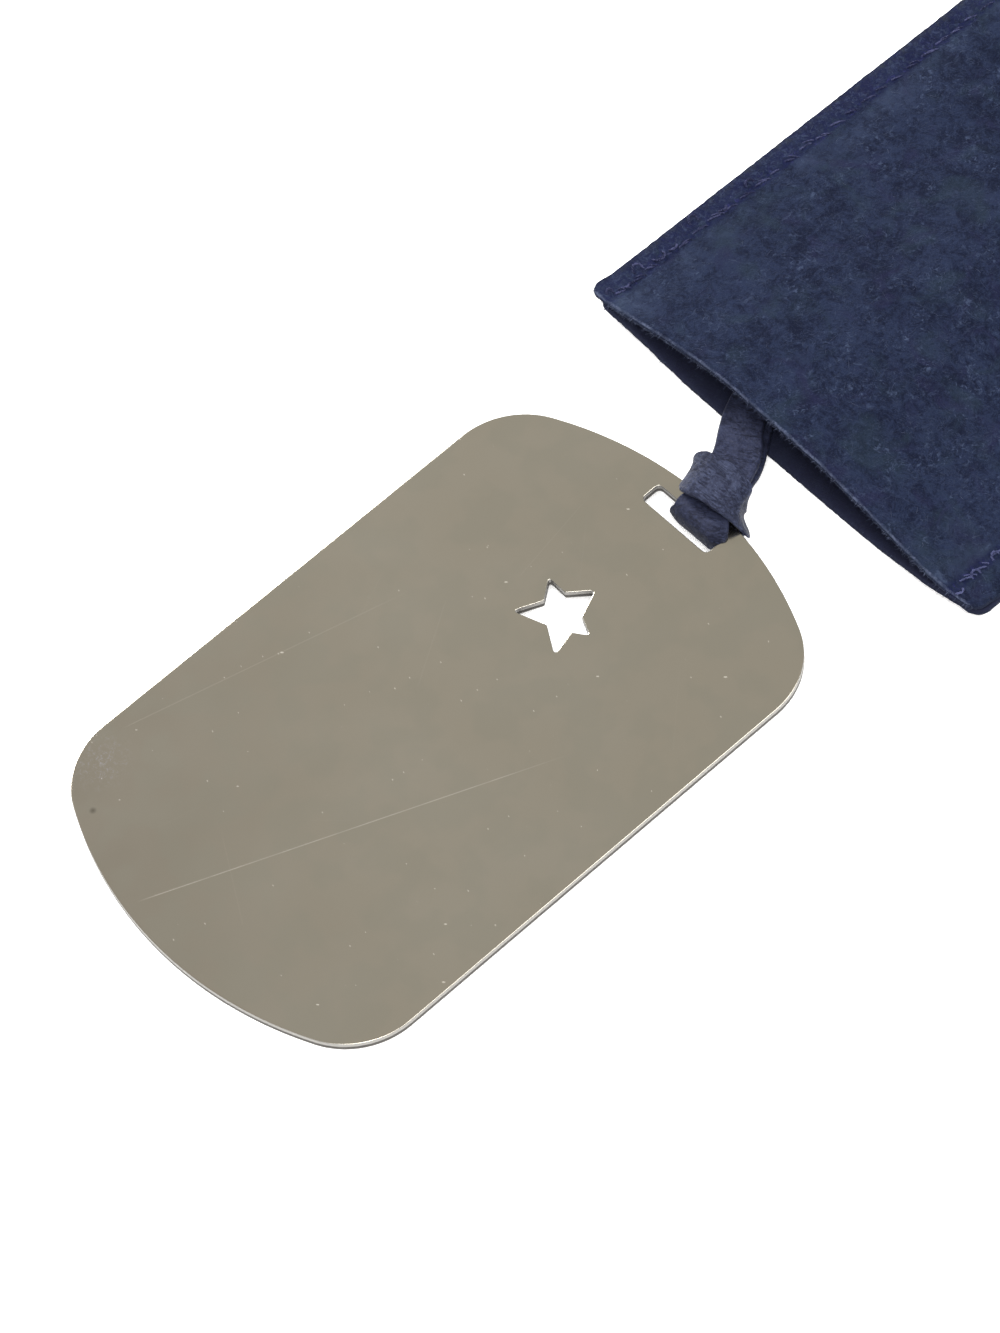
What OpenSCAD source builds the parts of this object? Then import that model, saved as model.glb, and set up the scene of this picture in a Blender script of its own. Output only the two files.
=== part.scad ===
// A metal tag on a flat leather neck strap, with a suede sleeve that slides over the tag.
// It lies on a surface at z = 0. The tag points along Y, with its slot towards +Y.
// The sleeve lies past the slot, and the strap runs through it and on into the neck loop.

/* [Tag plate] */
// Width of the tag
tag_w = 50; // [40:0.5:52]
// Length of the tag
tag_len = 78.5; // [70:0.5:84]
// Thickness of the tag
tag_t = 1.2; // [1:0.1:1.4]
// Radius of the two bowed ends
end_r = 44.9; // [40:0.1:60]
// Radius of the four corners
corner_r = 9.6; // [7:0.1:12]
// Length of the slot, across the tag
slot_w = 10.3; // [9.5:0.1:12]
// Width of the slot, along the tag
slot_h = 2.5; // [2.3:0.1:2.8]
// Metal left between the slot and the end of the tag
bar_h = 2.25; // [2:0.05:2.5]
// Distance of the slot's middle from the tag's centre line
slot_off = 0.35; // [0:0.05:0.5]
// Distance from the tag's centre to the middle of the star
star_y = 18; // [14:0.5:20]

/* [Strap] */
// Width of the flat strap
strap_w = 4.8; // [4:0.1:5]
// Thickness of the flat strap
strap_t = 0.9; // [0.8:0.05:0.95]

/* [Sleeve] */
// Width of the sleeve
sleeve_w = 61.2; // [58:0.2:64]
// Length of the sleeve
sleeve_len = 95; // [90:1:100]
// Thickness of the suede
suede_t = 1.1; // [1:0.05:1.2]
// Distance from the sleeve's left edge to its stitching
left_seam = 2.8; // [2:0.1:4]
// Distance from the sleeve's right edge to its stitching
right_seam = 3.8; // [2:0.1:5]
// Height that the stitched edges lift off the surface
edge_lift = 1; // [0.6:0.1:1.4]
// Radius of the sleeve's corners
sleeve_r = 1.6; // [1:0.1:2]

/* [Hidden] */

// Space between pieces that lie on each other
gap = 0.1;
// Corners of the bar between the slot and the tag's end, which the strap folds round
bar_y = tag_len / 2 - bar_h;
bar_z = 2 * strap_t + 2 * gap;
// The tag leans up from its far edge until its bar lies on two layers of strap
tag_tilt = asin(bar_z / (bar_y + tag_len / 2));
// The star's five tips, each turned from the +X side and so far from the star's middle
tip_turn = [86, 151, 222, 313.5, 367];
tip_reach = [4.7, 4.8, 5.25, 5.2, 4.15];
// The dents between the tips
dent_turn = [131, 180, 264, 344, 400];
dent_reach = [2.9, 2.4, 1.9, 2.6, 2.5];
// Distance from the tag's centre line to the middle of the star
star_x = -0.3;

// Where the two stacked strands lie between the tag and the neck loop:
// place x, place y, height of the lower strand's middle, turn, sideways slip of the lower
// strand, width
strand_rows = [
    [1.5, 38.2, 3.78, 8, 1.05, 5.3],
    [1.2, 39.6, 3.75, 14, 0.9, 5.0],
    [0.7, 41.0, 3.55, 21, 0.7, 4.8],
    [-0.1, 42.6, 3.15, 28, 0.8, 4.8],
    [-1.05, 44.3, 2.65, 33, 1.1, 4.8],
    [-2.3, 46.2, 2.15, 35, 1.2, 4.8],
    [-3.7, 48.0, 1.80, 34, 1.2, 4.8],
    [-4.9, 49.8, 1.70, 30, 1.1, 4.8],
    [-6.2, 52.8, 1.70, 19, 1.0, 4.8],
    [-7.0, 57.0, 1.70, 7, 0.7, 4.8],
    [-7.1, 63.0, 1.70, -1, 0.4, 4.8],
    [-6.6, 72.0, 1.70, -4, 0.2, 4.8],
    [-5.2, 86.0, 1.70, -6, 0.1, 4.8],
    [-3.2, 104.0, 1.70, -6, 0, 4.8],
    [-1.2, 122.0, 1.70, -5, 0, 4.8],
    [0.4, 136.0, 1.70, -3, 0, 4.8],
    [1.1, 145.0, 1.70, 0, 0, 4.8],
    [1.1, 147.0, 1.40, 0, 0, 4.8],
    [1.1, 149.5, 0.75, 0, 0, 4.8],
    [1.1, 151.0, 0.45, 0, 0, 4.8],
    [1.1, 152.5, 0.45, 0, 0, 4.8],
    [1.1, 154.0, 0.45, 0, 0, 4.8]];

// The neck loop's way round the surface, from the lower strand to the upper one
loop_route = [
    [1.1, 154, 0.45],
    [3.4, 164, 0.45],
    [10, 179, 0.45],
    [26, 201, 0.45],
    [46, 225, 0.45],
    [65, 251, 0.45],
    [78, 280, 0.45],
    [82, 312, 0.45],
    [76, 344, 0.45],
    [58, 371, 0.45],
    [30, 389, 0.45],
    [-3, 393, 0.45],
    [-35, 383, 0.45],
    [-59, 361, 0.45],
    [-72, 330, 0.45],
    [-73, 296, 0.45],
    [-63, 263, 0.45],
    [-46, 233, 0.45],
    [-28, 207, 0.45],
    [-12, 185, 0.45],
    [-3, 170, 1.45],
    [0.4, 161, 1.45],
    [1.1, 154, 1.45]];

// The wrap's outer face, round the strands from the top to the left and below:
// its edge beside the tag (x, y, z), then its edge beside the sleeve (x, y, z)
wrap_rows = [
    [1.8, 37.6, 6.30, 0.0, 42.7, 5.70],
    [-1.2, 37.3, 6.20, -1.9, 42.5, 5.80],
    [-2.3, 37.8, 5.10, -3.6, 42.3, 5.10],
    [-2.4, 39.7, 3.40, -4.0, 42.2, 3.60],
    [-2.3, 40.5, 1.50, -3.8, 42.5, 1.70],
    [-1.2, 40.5, 0.00, -2.4, 43.4, 0.00],
    [1.2, 40.5, 0.00, -0.4, 44.0, 0.00],
    [4.2, 40.3, 0.00, 1.6, 43.8, 0.00],
    [6.5, 40.0, 1.20, 3.6, 43.1, 1.10],
    [6.4, 39.8, 3.20, 3.9, 43.0, 2.90],
    [6.1, 38.3, 5.35, 4.0, 43.0, 4.80],
    [4.5, 37.9, 6.20, 2.5, 42.9, 5.80]];
// Thickness of the strap where it is stretched round the strands
wrap_t = 0.7;

// The sleeve's middle, its mouth and the flat part that it rests on
sleeve_x = 1;
mouth_y = 49.35;
flat_half = 13;
// The mouth's slant, how far its middle stands out, and how far the front layer lies behind
mouth_slant = -0.009;
mouth_bow = 0.2;
front_recess = 0.45;
// How far the two layers part, across the sleeve from its middle, at the mouth and at the end
mouth_gape = [[-27.6, 0], [-23, 1.5], [-18.4, 3], [-13.4, 4.4], [-9, 5], [-2, 5], [6.6, 4.6],
              [10.6, 3.7], [14.6, 2.9], [18.1, 2.1], [22.1, 1.4], [24.6, 0.8], [26.6, 0]];
end_gape = [[-9, 0], [-4, 2.4], [4, 2.4], [9, 0]];
// Columns near each side edge, where the corners curve, and the columns and rows between
edge_columns = [0, 0.15, 0.6, 1.6];
inner_columns = 22;
sleeve_rows = 12;

metal = [0.58, 0.55, 0.49];
strap_blue = [0.24, 0.26, 0.37];
suede_blue = [0.17, 0.21, 0.32];

function unit(v) = v / norm(v);
function ease(f) = f <= 0 ? 0 : f >= 1 ? 1 : f * f * (3 - 2 * f);

// Smooth curve through a list of rows
function between(a, b, c, d, f) =
    b + 0.5 * f * (c - a + f * (2 * a - 5 * b + 4 * c - d + f * (3 * (b - c) + d - a)));
function row_at(rows, i, ring) =
    ring ? rows[(i + len(rows)) % len(rows)] : rows[max(0, min(len(rows) - 1, i))];
function smooth(rows, steps, ring = false) = [
    for (i = [0 : len(rows) - (ring ? 1 : 2)], k = [0 : steps - 1])
        between(row_at(rows, i - 1, ring), rows[i], row_at(rows, i + 1, ring),
                row_at(rows, i + 2, ring), k / steps),
    if (!ring) rows[len(rows) - 1]];

// Direction of travel at point i of a path
function heading(path, i) = unit(path[min(len(path) - 1, i + 1)] - path[max(0, i - 1)]);
// The way across a flat strap, turned so many degrees from +X
function across(turn) = [cos(turn), sin(turn), 0];
// The four corners of a strap's section, from half its width and half its thickness
function section(middle, half_side, half_face) = [
    for (c = [[-1, -1], [1, -1], [1, 1], [-1, 1]])
        middle + c[0] * half_side + c[1] * half_face];
function strap_sections(path, half_sides) = [
    for (i = [0 : len(path) - 1])
        section(path[i], half_sides[i],
                strap_t / 2 * unit(cross(half_sides[i], heading(path, i))))];

function quad(a, b, c, d) = [[a, b, c], [a, c, d]];
function flat_list(lists) = [for (l = lists) each l];

// A solid through sections of four corners, closed into a ring or capped at both ends
module swept(sections, ring = false) {
    n = len(sections);
    sides = [
        for (i = [0 : n - (ring ? 1 : 2)], k = [0 : 3])
            each quad(4 * i + k, 4 * i + (k + 1) % 4,
                      4 * ((i + 1) % n) + (k + 1) % 4, 4 * ((i + 1) % n) + k)];
    caps = ring ? [] : concat(quad(3, 2, 1, 0), quad(4 * n - 4, 4 * n - 3, 4 * n - 2, 4 * n - 1));
    polyhedron(flat_list(sections), concat(sides, caps));
}

// One bowed end: the part of a large disc between its two corners
corner_x = tag_w / 2 - corner_r;
corner_y = tag_len / 2 - end_r + sqrt(pow(end_r - corner_r, 2) - pow(corner_x, 2));

module bowed_end() {
    arc_y = tag_len / 2 - end_r;
    reach = 2 * [corner_x, corner_y - arc_y];
    intersection() {
        translate([0, arc_y]) circle(end_r, $fn = 180);
        polygon([[0, arc_y], [reach[0], arc_y + reach[1]], [-reach[0], arc_y + reach[1]]]);
    }
}

module tag_outline() {
    square([tag_w, 2 * corner_y], center = true);
    for (turn = [0, 180]) rotate(turn) bowed_end();
    for (x = [-corner_x, corner_x], y = [-corner_y, corner_y])
        translate([x, y]) circle(corner_r, $fn = 72);
}

module star() {
    polygon([
        for (i = [0 : 4])
            each [tip_reach[i] * [cos(tip_turn[i]), sin(tip_turn[i])],
                  dent_reach[i] * [cos(dent_turn[i]), sin(dent_turn[i])]]]);
}

module tag_plate() {
    color(metal)
    translate([0, -tag_len / 2, 0]) rotate([tag_tilt, 0, 0]) translate([0, tag_len / 2, 0])
    linear_extrude(tag_t)
    difference() {
        tag_outline();
        translate([slot_off - slot_w / 2, bar_y - slot_h]) square([slot_w, slot_h]);
        translate([star_x, star_y]) star();
    }
}

// The strap's fold round the bar, so far from its corners: over, down the slot and under.
// The upper strand's middle is at fold_x and the lower one slips to the side. Both spread to
// fold_w there, and end under the bar at leg_end_y.
fold_x = 1.65;
fold_w = 5.4;
fold_steps = 5;
leg_end_y = 39.9;

function corner_arc(x, z, reach, from) = [
    for (k = [0 : fold_steps])
        let (turn = from - 90 * k / fold_steps)
            [x, bar_y + reach * cos(turn), z + reach * sin(turn)]];
function fold(x, reach) = concat(
    [[x, leg_end_y, bar_z - reach]],
    corner_arc(x, bar_z, reach, 270),
    corner_arc(x, bar_z + tag_t, reach, 180));

// One strand, from under the bar to the neck loop: the lower one has level 0, the upper one 1
module strand(level) {
    step = strap_t + gap;
    rows = smooth(strand_rows, 2);
    slip = (1 - level) * strand_rows[0][4];
    bend = fold(fold_x + slip, gap + strap_t / 2 + level * step);
    run = [
        for (r = rows)
            [r[0] + (1 - level) * r[4], r[1], max(strap_t / 2, r[2]) + level * step]];
    half_sides = concat(
        [for (p = bend) fold_w / 2 * across(0)],
        [for (r = rows) r[5] / 2 * across(r[3])]);
    color(strap_blue) swept(strap_sections(concat(bend, run), half_sides));
}

module strand_upper() { strand(1); }
module strand_lower() { strand(0); }

// The bight of the strap, folded over both strands just past the tag
module hitch_wrap() {
    rows = smooth(wrap_rows, 3, true);
    n = len(rows);
    color(strap_blue)
    swept([
        for (i = [0 : n - 1])
            let (r = rows[i],
                 before = rows[(i + n - 1) % n],
                 after = rows[(i + 1) % n],
                 near = [r[0], r[1], max(0, r[2])],
                 far = [r[3], r[4], max(0, r[5])],
                 round_way = [after[0] + after[3] - before[0] - before[3], 0,
                              after[2] + after[5] - before[2] - before[5]],
                 inward = wrap_t * unit(cross([0, 1, 0], round_way)))
                [near, near - inward, far - inward, far]],
        ring = true);
}

loop_path = [for (p = smooth(loop_route, 5)) [p[0], p[1], max(strap_t / 2, p[2])]];
loop_sections = strap_sections(loop_path, [
    for (i = [0 : len(loop_path) - 1])
        let (h = i == 0 ? [0, 1, 0] : i == len(loop_path) - 1 ? [0, -1, 0] : heading(loop_path, i))
            strap_w / 2 * unit([h[1], -h[0], 0])]);

module neck_loop() {
    color(strap_blue) swept(loop_sections);
}

// The sleeve's shape at x across from its middle, and part v of the way from mouth to end
function corner_inset(edge) =
    edge >= sleeve_r ? 0 : sleeve_r - sqrt(pow(sleeve_r, 2) - pow(sleeve_r - edge, 2));
function inset_at(x) = corner_inset(sleeve_w / 2 - abs(x));
function mouth_at(x, recess) =
    mouth_y + mouth_slant * x - mouth_bow * (1 - pow(2 * x / sleeve_w, 2)) + recess + inset_at(x);
function end_at(x) = mouth_y + sleeve_len - inset_at(x);
function belly(x) = edge_lift * ease((abs(x) - flat_half) / (sleeve_w / 2 - right_seam - flat_half));
function parted(x, v) = lookup(x, mouth_gape) * (1 - v) + lookup(x, end_gape) * v;
function floor_of(x, v, layer) = belly(x) + layer * (suede_t + gap + parted(x, v));

left_in = -sleeve_w / 2 + left_seam;
right_in = sleeve_w / 2 - right_seam;
columns = concat(
    [for (e = edge_columns) e - sleeve_w / 2],
    [for (i = [0 : inner_columns]) left_in + (right_in - left_in) * i / inner_columns],
    [for (i = [1 : len(edge_columns)]) sleeve_w / 2 - edge_columns[len(edge_columns) - i]]);

// One layer of suede: the back one is layer 0, the front one is layer 1
module suede(layer) {
    m = len(columns);
    recess = layer * front_recess;
    skin = function (extra) [
        for (j = [0 : sleeve_rows], x = columns)
            let (v = j / sleeve_rows)
                [sleeve_x + x, mouth_at(x, recess) * (1 - v) + end_at(x) * v,
                 floor_of(x, v, layer) + extra]];
    low = m * (sleeve_rows + 1);
    top = function (i, j) j * m + i;
    under = function (i, j) low + j * m + i;
    last = sleeve_rows;
    faces = [
        for (j = [0 : last - 1], i = [0 : m - 2]) each concat(
            quad(top(i, j), top(i, j + 1), top(i + 1, j + 1), top(i + 1, j)),
            quad(under(i, j), under(i + 1, j), under(i + 1, j + 1), under(i, j + 1))),
        for (i = [0 : m - 2]) each concat(
            quad(top(i, 0), top(i + 1, 0), under(i + 1, 0), under(i, 0)),
            quad(top(i + 1, last), top(i, last), under(i, last), under(i + 1, last))),
        for (j = [0 : last - 1]) each concat(
            quad(top(0, j + 1), top(0, j), under(0, j), under(0, j + 1)),
            quad(top(m - 1, j), top(m - 1, j + 1), under(m - 1, j + 1), under(m - 1, j)))];
    color(suede_blue) polyhedron(concat(skin(suede_t), skin(0)), faces);
}

module sleeve_front() { suede(1); }
module sleeve_back() { suede(0); }

// The origin is under the middle of the whole piece
loop_x = [for (s = loop_sections, p = s) p[0]];
loop_y = [for (s = loop_sections, p = s) p[1]];
middle = [(min(loop_x) + max(loop_x)) / 2,
          (max(loop_y) - tag_len / 2 - tag_t * sin(tag_tilt)) / 2, 0];

module placed() { translate(-middle) children(); }

placed() tag_plate();
placed() strand_upper();
placed() strand_lower();
placed() hitch_wrap();
placed() neck_loop();
placed() sleeve_front();
placed() sleeve_back();
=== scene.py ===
# %% [markdown]
# # A steel tag on a leather strap, with its suede sleeve
#
# The piece is worn round the neck: a polished steel tag with a star cut through it, a flat
# leather strap hitched through the tag's slot, and a suede sleeve that slides down the strap
# and over the tag. Here it lies on a pale table with the sleeve pushed up, so its mouth gapes.
#
# A model of exact solids gives every piece its place and size. The lesson starts by loading
# those solids, and most meshes made below then take the place of one or more of them.
# %% Load the solids
import math
import random

import bpy
import numpy as np
from mathutils import Matrix, Vector, noise
from mathutils.geometry import tessellate_polygon


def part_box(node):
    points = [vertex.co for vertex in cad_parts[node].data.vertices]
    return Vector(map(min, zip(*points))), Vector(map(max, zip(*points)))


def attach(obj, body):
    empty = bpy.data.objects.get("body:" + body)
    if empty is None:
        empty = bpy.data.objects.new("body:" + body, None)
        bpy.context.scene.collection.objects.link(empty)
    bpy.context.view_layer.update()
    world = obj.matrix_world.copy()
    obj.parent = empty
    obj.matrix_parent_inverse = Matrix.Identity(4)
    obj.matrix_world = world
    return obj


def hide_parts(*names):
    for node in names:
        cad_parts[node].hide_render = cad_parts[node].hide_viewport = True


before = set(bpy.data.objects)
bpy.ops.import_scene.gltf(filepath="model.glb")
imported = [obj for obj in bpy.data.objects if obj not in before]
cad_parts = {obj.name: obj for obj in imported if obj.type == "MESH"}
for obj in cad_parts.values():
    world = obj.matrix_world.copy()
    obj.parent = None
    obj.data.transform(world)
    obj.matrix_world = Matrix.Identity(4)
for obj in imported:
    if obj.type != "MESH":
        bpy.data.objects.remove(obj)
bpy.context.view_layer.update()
print("solids:", sorted(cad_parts))

# %% [markdown]
# ## The bench
#
# Blender works in metres, but a jeweller and a leather worker think in millimetres. So every
# point below is written in millimetres on a bench: its zero is under the middle of the tag, Y
# runs from the tag towards the sleeve, and Z is the height over the table. One function then
# sets points down in the room. The bench's place and the tag's lean come from the loaded tag.
# %% A bench in millimetres
MM = 0.001
tag_w = 50
tag_len = 78.5
tag_t = 1.2

tag_low, tag_high = (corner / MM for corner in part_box("tag_plate"))
tag_tilt = math.asin((tag_high.z - tag_t) / tag_len)
bench = np.array([
    (tag_low.x + tag_high.x) / 2,
    tag_low.y + tag_len / 2 + tag_t * math.sin(tag_tilt),
    0])


def in_room(points):
    """Bench points in millimetres, as room points in metres."""
    return (np.asarray(points, float).reshape(-1, 3) + bench) * MM


print("bench zero:", bench.round(3), "tag leans", round(math.degrees(tag_tilt), 2), "degrees")

# %% [markdown]
# ## The camera
#
# A picture is matched by its viewpoint first, because everything after depends on it.
# The lens is long and the camera stands half a metre away, which is why the tag's long sides
# hardly draw together. The camera is aimed at a point on the bench from a heading and a
# height, as on a tripod, and then rolled a little about its own axis.
# %% Set up the camera
aim = np.array([-0.18, 9.15, 2.0])
camera_distance = 537.3
camera_heading = -34.80
camera_height = 57.29
camera_roll = -8.58
lens_mm = 135.04


def look_from(heading, height):
    """The direction from the bench to a camera or a lamp, from two angles in degrees."""
    turn, lift = math.radians(heading), math.radians(height)
    return Vector((
        math.cos(lift) * math.cos(turn),
        math.cos(lift) * math.sin(turn),
        math.sin(lift)))


def facing(direction, roll=0.0):
    """A rotation that looks back along a direction, with level sides, then rolled."""
    back = direction.normalized()
    side = Vector((0, 0, 1)).cross(back).normalized()
    turned = Matrix((side, back.cross(side), back)).transposed()
    return (turned @ Matrix.Rotation(math.radians(roll), 3, "Z")).to_4x4()


def stand(thing, target, distance, direction, roll=0.0):
    """Stands a camera or a lamp so many millimetres from a bench point, looking at it."""
    place = in_room(target + distance * np.array(direction))[0]
    thing.matrix_world = Matrix.Translation(place) @ facing(direction, roll)
    bpy.context.collection.objects.link(thing)


camera = bpy.data.objects.new("camera", bpy.data.cameras.new("camera"))
camera.data.lens = lens_mm
camera.data.clip_start = 0.01
stand(camera, aim, camera_distance, look_from(camera_heading, camera_height), camera_roll)
bpy.context.scene.camera = camera
bpy.context.scene.view_settings.view_transform = "Standard"
print("camera stands at", [round(v, 3) for v in camera.matrix_world.translation])

# %% [markdown]
# ## Shader maths as plain sums
#
# A material is a net of nodes, and long nets are hard to read. A small class wraps one socket,
# so that adding, multiplying or subtracting sockets in Python adds the Math nodes. Everything
# else, from noise to ramps, comes from one method that takes a node's type, its settings and
# its inputs. A finish below then reads as a recipe: dye, plus wear, plus nap.
# %% A socket that can be added and multiplied
class Wire:
    """An output of a node, with arithmetic that adds Math nodes."""

    def __init__(self, finish, socket):
        self.finish = finish
        self.socket = socket

    def output(self, name):
        """Another output of the same node."""
        return Wire(self.finish, self.socket.node.outputs[name])

    def maths(self, operation, *terms):
        return self.finish.node("ShaderNodeMath", {"operation": operation}, dict(enumerate(terms)))

    def __add__(self, other):
        return self.maths("ADD", self, other)

    def __sub__(self, other):
        return self.maths("SUBTRACT", self, other)

    def __rsub__(self, other):
        return self.maths("SUBTRACT", other, self)

    def __mul__(self, other):
        return self.maths("MULTIPLY", self, other)

    def __truediv__(self, other):
        return self.maths("DIVIDE", self, other)

    def __pow__(self, other):
        return self.maths("POWER", self, other)

    def __abs__(self):
        return self.maths("ABSOLUTE", self)

    def or_more(self, other):
        return self.maths("MAXIMUM", self, other)

    __radd__ = __add__
    __rmul__ = __mul__


# %% A finish, which is one material
class Finish:
    """One material: its shader, its nodes, and the places on the bench that they read."""

    def __init__(self, name, **shader_values):
        self.material = bpy.data.materials.new(name)
        self.material.use_nodes = True
        self.tree = self.material.node_tree
        self.shader = self.tree.nodes["Principled BSDF"]
        for socket, value in shader_values.items():
            self.shader.inputs[socket.replace("_", " ")].default_value = value
        room = self.node("ShaderNodeTexCoord", {}, {}, "Object")
        self.place = self.node("ShaderNodeMapping", {"vector_type": "POINT"}, {
            "Vector": room, "Scale": (1 / MM,) * 3, "Location": tuple(-bench)})
        axes = self.node("ShaderNodeSeparateXYZ", {}, {0: self.place})
        self.x, self.y, self.z = axes, axes.output("Y"), axes.output("Z")

    def node(self, kind, settings, inputs, output=0):
        """Any node: its type, its settings, and the values or wires of its sockets."""
        made = self.tree.nodes.new(kind)
        for setting, value in settings.items():
            setattr(made, setting, value)
        for socket, value in inputs.items():
            if isinstance(value, Wire):
                self.tree.links.new(value.socket, made.inputs[socket])
            else:
                made.inputs[socket].default_value = value
        return Wire(self, made.outputs[output])

    def rise(self, value, low, high):
        """0 below low, 1 above high and a smooth rise between."""
        return self.node("ShaderNodeMapRange", {"interpolation_type": "SMOOTHSTEP"}, {
            "Value": value, "From Min": low, "From Max": high})

    def fall(self, value, low, high):
        """1 below low, 0 above high and a smooth fall between."""
        return 1 - self.rise(value, low, high)

    def band(self, value, *edges):
        """1 inside a band, from the two ends of its rise and the two ends of its fall."""
        return self.rise(value, *edges[:2]) * self.fall(value, *edges[2:])

    def shifted(self, turn, shift, scale):
        """Places turned, shifted and scaled, as the space of one texture."""
        return self.node("ShaderNodeMapping", {"vector_type": "TEXTURE"}, {
            "Vector": self.place, "Rotation": (0, 0, math.radians(turn)),
            "Location": shift, "Scale": scale})

    def cloud(self, size, detail=2.0, stretch=(1, 1, 1), turn=0.0, shift=0.0, warp=0.0, fine=0.5):
        """Noise from 0 to 1 whose blobs are about so many millimetres wide.
        Each finer layer is as strong as the last one times fine."""
        spot = self.shifted(turn, (shift, -shift, shift), tuple(size * s for s in stretch))
        return self.node("ShaderNodeTexNoise", {}, {
            "Vector": spot, "Scale": 1.0, "Detail": detail, "Distortion": warp, "Roughness": fine})

    def patches(self, low, high, *size_and_detail, **shape):
        """A cloud cut into patches: 0 where it is below low and 1 where it is above high."""
        return self.rise(self.cloud(*size_and_detail, **shape), low, high)

    def facing_up(self):
        """1 where the surface faces up, 0 on a wall and -1 on an under side."""
        way = self.node("ShaderNodeNewGeometry", {}, {}, "Normal")
        return self.node("ShaderNodeSeparateXYZ", {}, {0: way}).output("Z")

    def blend(self, start, end, share):
        """A colour between two colours."""
        start, end = (c if isinstance(c, Wire) else (*c, 1) for c in (start, end))
        return self.node("ShaderNodeMix", {"data_type": "RGBA"}, {0: share, 6: start, 7: end}, 2)

    def coats(self, tone, *coats):
        """Coats of colour over a first tone, each a colour and its share."""
        for colour, share in coats:
            tone = self.blend(tone, colour, share)
        return tone

    def feed(self, socket, value):
        """Links a wire into the shader."""
        self.tree.links.new(value.socket, self.shader.inputs[socket])

    def relief(self, height, depth):
        """Fine relief: a height from 0 to 1 that stands so many millimetres high."""
        self.feed("Normal", self.node("ShaderNodeBump", {}, {
            "Height": height, "Distance": depth * MM}))


# %% [markdown]
# ## Mesh helpers
#
# Most of the pieces are either a band swept along a line or a sheet with two faces and a cut
# edge. Both are grids of points, so it is simplest to work the points out in numpy and join
# neighbours into quads. One function makes the object, sets it in the room, gives it its finish
# and hides the solids that it replaces.
# %% Turn points into a piece
def make_piece(name, points, faces, finish, slot, replaced=(), smooth=True):
    """An object from bench points and faces, parented to one root empty.
    A point that would be under the table is set on it."""
    points = np.array(points, float).reshape(-1, 3)
    points[:, 2] = np.maximum(points[:, 2], 0)
    mesh = bpy.data.meshes.new(name)
    mesh.from_pydata(in_room(points).tolist(), [], faces)
    mesh.materials.append(finish.material)
    flags = smooth if isinstance(smooth, list) else [smooth] * len(mesh.polygons)
    mesh.polygons.foreach_set("use_smooth", flags)
    mesh.update()
    piece = bpy.data.objects.new(name, mesh)
    bpy.context.collection.objects.link(piece)
    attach(piece, "root")
    if replaced:
        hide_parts(*replaced)
    print(f"{name}: {len(mesh.vertices)} points, {len(mesh.polygons)} faces")


def band_faces(rings, around, closed=False, first=0):
    """Quads between rings of points, and a face on each end unless the band closes on itself."""
    faces = [
        (first + a * around + k, first + a * around + (k + 1) % around,
         first + b * around + (k + 1) % around, first + b * around + k)
        for a, b in zip(range(rings), [*range(1, rings), 0])
        if closed or b
        for k in range(around)]
    if not closed:
        faces.append(tuple(first + k for k in reversed(range(around))))
        faces.append(tuple(first + (rings - 1) * around + k for k in range(around)))
    return faces


def unit(vectors):
    """Vectors with their length made 1."""
    vectors = np.asarray(vectors, float)
    return vectors / np.maximum(np.linalg.norm(vectors, axis=-1, keepdims=True), 1e-9)


def travelled(points):
    """How far along a line each of its points is."""
    steps = np.linalg.norm(np.diff(points[:, :3], axis=0), axis=1)
    return np.concatenate([[0], np.cumsum(steps)])


def ease(f):
    """A smooth rise from 0 to 1."""
    f = np.clip(f, 0, 1)
    return f * f * (3 - 2 * f)


def hill(value, at, width):
    """A smooth hill: 1 at one value, and next to nothing two widths away."""
    return np.exp(-((value - at) / width) ** 2)


def lumps(points, size, seed=0.0):
    """Smooth random values from about -1 to 1, alike within so many millimetres."""
    return np.array([
        noise.noise(Vector((p[0] / size + seed, p[1] / size - seed, p[2] / size + 2 * seed)))
        for p in np.asarray(points, float).reshape(-1, 3)])


def smooth_rows(rows, step, ring=False):
    """A smooth curve through rows of numbers whose first three are a place.
    The step between its points is one number, or one for each row."""
    rows = np.asarray(rows, float)
    steps = np.broadcast_to(step, len(rows))
    if ring:
        rows = np.vstack([rows, rows[:1]])
    gaps = np.linalg.norm(np.diff(rows[:, :3], axis=0), axis=1)[:, None]
    slopes = np.diff(rows, axis=0) / gaps

    def both_sides(values):
        """At each point, the value of the gap before it and of the gap after it."""
        first, last = (values[-1:], values[:1]) if ring else (values[:1], values[-1:])
        return np.vstack([first, values]), np.vstack([values, last])

    (before, after), (d0, d1) = both_sides(slopes), both_sides(gaps)
    bends = (before * d1 + after * d0) / (d0 + d1)
    curve = []
    for i in range(len(gaps)):
        length = gaps[i, 0]
        parts = max(1, round(length / steps[i]))
        f = (np.arange(parts) / parts)[:, None]
        curve.append(
            (1 + 2 * f) * (1 - f) ** 2 * rows[i] + f * f * (3 - 2 * f) * rows[i + 1]
            + f * (1 - f) ** 2 * length * bends[i] - f * f * (1 - f) * length * bends[i + 1])
    if not ring:
        curve.append(rows[-1:])
    return np.vstack(curve)
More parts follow.
